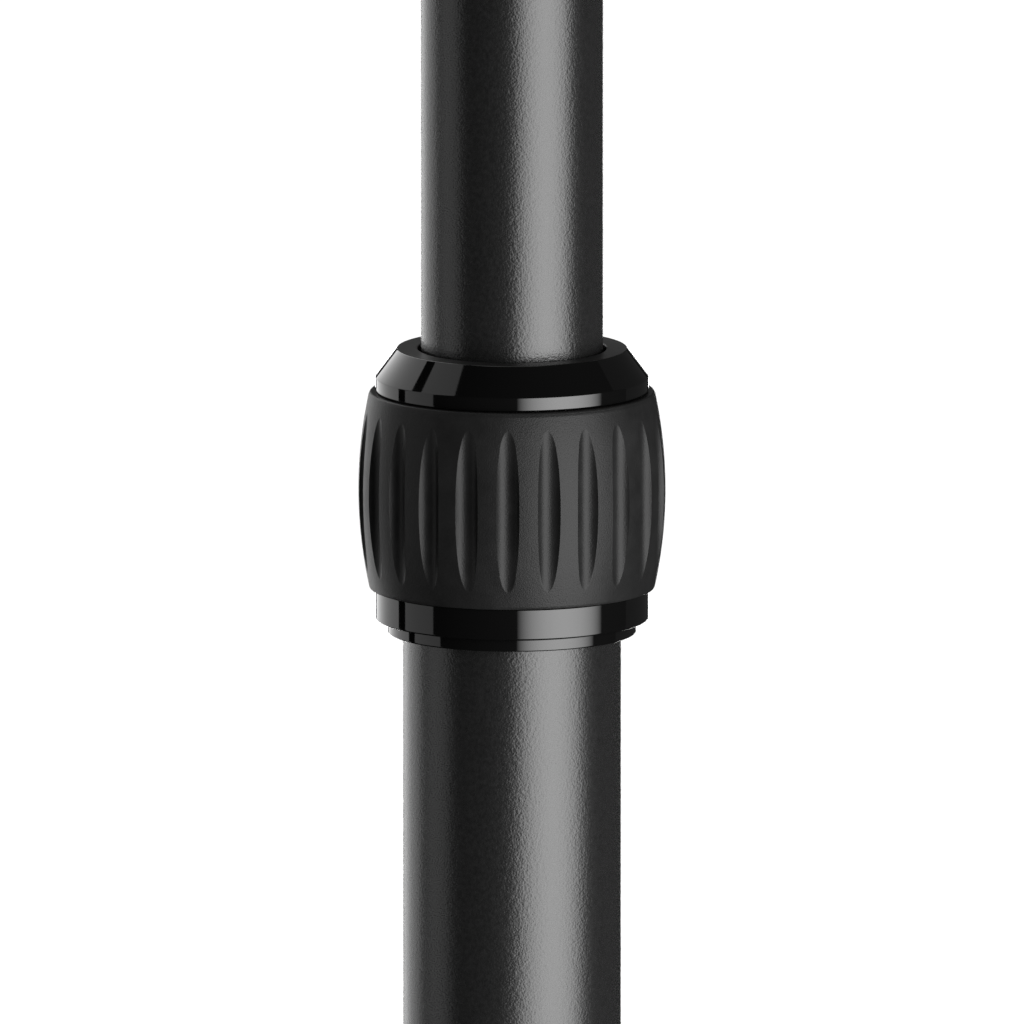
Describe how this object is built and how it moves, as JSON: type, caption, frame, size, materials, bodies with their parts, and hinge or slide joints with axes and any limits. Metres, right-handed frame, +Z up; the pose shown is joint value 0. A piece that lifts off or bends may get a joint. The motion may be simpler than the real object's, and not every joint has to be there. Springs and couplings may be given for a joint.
{
  "type": "telescopic boom pole",
  "caption": "Telescopic microphone boom pole: a thinner tube slides in a thicker one, held by a fluted twist-lock collar, with a threaded tip stud and a foam hand grip.",
  "frame": {"origin": "centre of the butt cap's bottom face", "axes": "+Z up the pole's axis, from the butt to the microphone stud; the front is -Y and the pole is round, so +X is any direction across it"},
  "size_m": [0.0422, 0.0422, 0.6434],
  "materials": {
    "powder_coat": "fine-textured black powder coat, satin",
    "gloss_plastic": "gloss",
    "grip_rubber": "matt",
    "butt_rubber": "matt",
    "foam": "closed-cell foam, matt",
    "hard_plastic": "satin",
    "nylon": "satin, natural white",
    "anodised": "black anodised, satin",
    "plated_steel": "bright zinc plate",
    "black_steel": "black oxide"
  },
  "bodies": {
    "lower_section": {"lower_tube": "powder_coat", "butt_cap": "butt_rubber", "butt_plug": "hard_plastic", "butt_screw": "black_steel", "foam_grip": "foam", "grip_ring_lower": "hard_plastic", "grip_ring_upper": "hard_plastic", "clamp_sleeve": "gloss_plastic", "sleeve_screw_1": "black_steel", "sleeve_screw_2": "black_steel", "sleeve_screw_3": "black_steel"},
    "lock_carrier": {"collet": "nylon", "thrust_washer": "plated_steel"},
    "lock_nut": {"nut_body": "gloss_plastic", "nut_cap": "gloss_plastic", "nut_grip": "grip_rubber", "wiper_ring": "foam"},
    "guide": {"guide_bush": "nylon"},
    "upper_section": {"upper_tube": "powder_coat", "snap_ring": "plated_steel", "inner_end_plug": "hard_plastic", "tip_plug": "anodised", "tip_pin_1": "plated_steel", "tip_pin_2": "plated_steel", "tip_washer": "butt_rubber", "mic_stud": "plated_steel"}
  },
  "joints": [
    {"name": "lock_travel", "type": "slide", "parent": "lower_section", "child": "lock_carrier", "axis": [0, 0, 1], "range_m": [0, 0.001]},
    {"name": "lock_twist", "type": "hinge", "parent": "lock_carrier", "child": "lock_nut", "pos_m": [0, 0, 0.52004], "axis": [0, 0, 1], "range_deg": [0, 120]},
    {"name": "section_slide", "type": "slide", "parent": "lower_section", "child": "guide", "axis": [0, 0, 1], "range_m": [-0.08, 0.3578]},
    {"name": "section_swivel", "type": "hinge", "parent": "guide", "child": "upper_section", "pos_m": [0, 0, 0.5398], "axis": [0, 0, 1], "continuous": true}
  ],
  "couplings": [
    {"joint": "lock_travel", "follows": "lock_twist", "m_per_rad": 0.00047746}
  ]
}
